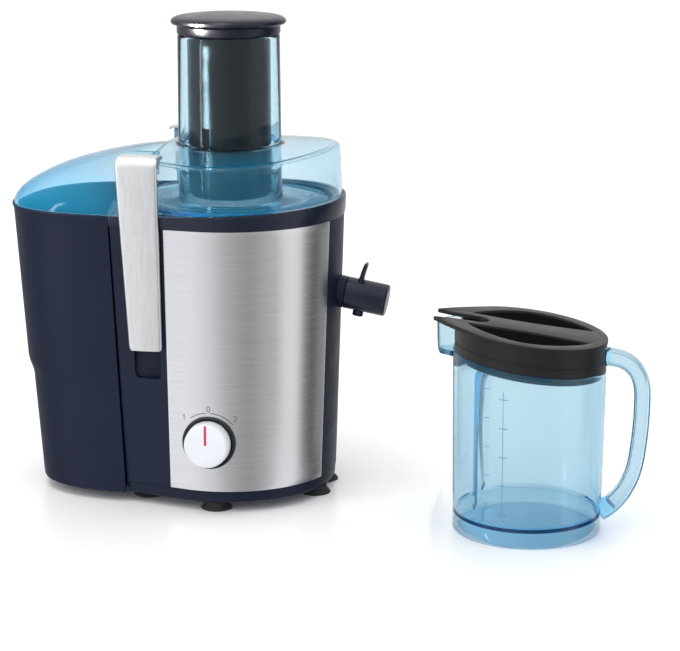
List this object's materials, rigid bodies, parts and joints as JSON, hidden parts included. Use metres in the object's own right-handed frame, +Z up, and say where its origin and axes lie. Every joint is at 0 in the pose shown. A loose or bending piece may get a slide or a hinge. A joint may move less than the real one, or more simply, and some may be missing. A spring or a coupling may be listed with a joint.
{
  "type": "centrifugal juicer",
  "caption": "Countertop centrifugal juicer with a wide feed tube and plunger, clear latched lid, side pulp container, steel front, speed knob, drip-stop spout and a lidded juice jug.",
  "frame": {"origin": "on the table, straight below the drive axis of the motor and filter", "axes": "+X towards the juice spout, -X towards the pulp container, -Y towards the user and the knob, +Z up"},
  "size_m": [0.5167, 0.2271, 0.3865],
  "materials": {
    "navy_plastic": "fine satin texture",
    "steel_panel": "horizontal brushing",
    "latch_steel": "satin, vertical grain",
    "clear_blue": "clear tinted, glossy",
    "black_plastic": "satin",
    "charcoal_plastic": "satin",
    "plunger_plastic": "semi-gloss",
    "light_plastic": "smooth",
    "knob_plastic": "satin silver-white",
    "pointer_red": "smooth",
    "rubber": "matte",
    "bare_steel": "machined",
    "sieve_steel": "perforated sheet",
    "lamination": "varnished sheet stack",
    "copper": "enamelled wire",
    "brass": "satin",
    "carbon": "matte graphite"
  },
  "bodies": {
    "base": {"rubber_feet": "rubber", "base_plate": "navy_plastic", "housing": "navy_plastic", "front_panel": "steel_panel", "collar": "navy_plastic", "knob_ring": "black_plastic", "motor_deck": "black_plastic", "juice_bowl": "navy_plastic", "spout_seal": "rubber", "shaft_seal": "rubber", "lid": "clear_blue", "base_screws": "bare_steel", "lower_bracket": "bare_steel", "upper_bracket": "bare_steel", "rubber_mounts": "rubber", "motor_bolts": "bare_steel", "lower_bearing": "bare_steel", "upper_bearing": "bare_steel", "stator_core": "lamination", "field_coils": "copper", "brush_holders": "brass", "carbon_brushes": "carbon", "rotary_switch": "black_plastic", "interlock_switch": "black_plastic", "cord_gland": "rubber", "link_pins": "bare_steel", "front_latch_frame": "navy_plastic", "back_latch_frame": "navy_plastic", "feed_tube": "clear_blue"},
    "rotor": {"motor_shaft": "bare_steel", "armature_core": "lamination", "armature_winding": "copper", "commutator": "copper", "cooling_fan": "black_plastic", "drive_coupling": "black_plastic", "filter_hub": "light_plastic", "grater_disc": "sieve_steel", "filter_mesh": "sieve_steel", "filter_rim": "light_plastic"},
    "plunger_body": {"plunger": "plunger_plastic"},
    "knob_body": {"knob": "knob_plastic", "knob_pointer": "pointer_red", "knob_shaft": "bare_steel"},
    "drip_stop_body": {"drip_stop": "navy_plastic"},
    "front_link_body": {"front_link": "black_plastic"},
    "front_lever_body": {"front_lever": "latch_steel", "front_lever_pin": "bare_steel"},
    "back_link_body": {"back_link": "black_plastic"},
    "back_lever_body": {"back_lever": "latch_steel", "back_lever_pin": "bare_steel"},
    "container_body": {"pulp_container": "navy_plastic"},
    "jug": {"jug_body": "clear_blue", "jug_handle": "clear_blue", "jug_spout": "clear_blue", "foam_separator": "clear_blue"},
    "jug_lid_body": {"jug_lid": "charcoal_plastic"}
  },
  "joints": [
    {"name": "filter_spin", "type": "hinge", "parent": "base", "child": "rotor", "pos_m": [0, 0, 0.1], "axis": [0, 0, 1], "continuous": true},
    {"name": "plunger_slide", "type": "slide", "parent": "base", "child": "plunger_body", "axis": [0, 0, 1], "range_m": [0, 0.16]},
    {"name": "knob_turn", "type": "hinge", "parent": "base", "child": "knob_body", "pos_m": [0, -0.08614, 0.058], "axis": [0, -1, 0], "range_deg": [-45, 45]},
    {"name": "drip_stop_turn", "type": "hinge", "parent": "base", "child": "drip_stop_body", "pos_m": [0.085, 0, 0.1656], "axis": [0.9848, 0, -0.1736], "range_deg": [0, 90]},
    {"name": "front_latch_swing", "type": "hinge", "parent": "base", "child": "front_link_body", "pos_m": [0, -0.082, 0.192], "axis": [-1, 0, 0], "range_deg": [0, 65]},
    {"name": "front_lever_tilt", "type": "hinge", "parent": "front_link_body", "child": "front_lever_body", "pos_m": [0, -0.08019, 0.16606], "axis": [-1, 0, 0], "range_deg": [-75, 0]},
    {"name": "back_latch_swing", "type": "hinge", "parent": "base", "child": "back_link_body", "pos_m": [0, 0.082, 0.192], "axis": [1, 0, 0], "range_deg": [0, 65]},
    {"name": "back_lever_tilt", "type": "hinge", "parent": "back_link_body", "child": "back_lever_body", "pos_m": [0, 0.08019, 0.16606], "axis": [1, 0, 0], "range_deg": [-75, 0]},
    {"name": "container_slide", "type": "slide", "parent": "base", "child": "container_body", "axis": [-1, 0, 0], "range_m": [0, 0.12]},
    {"name": "jug_lift", "type": "slide", "parent": "base", "child": "jug", "axis": [0, 0, 1], "range_m": [0, 0.25]},
    {"name": "jug_lid_lift", "type": "slide", "parent": "jug", "child": "jug_lid_body", "axis": [0, 0, 1], "range_m": [0, 0.08]}
  ],
  "couplings": [
    {"joint": "front_lever_tilt", "follows": "front_latch_swing", "ratio": -1.15},
    {"joint": "back_lever_tilt", "follows": "back_latch_swing", "ratio": -1.15}
  ]
}
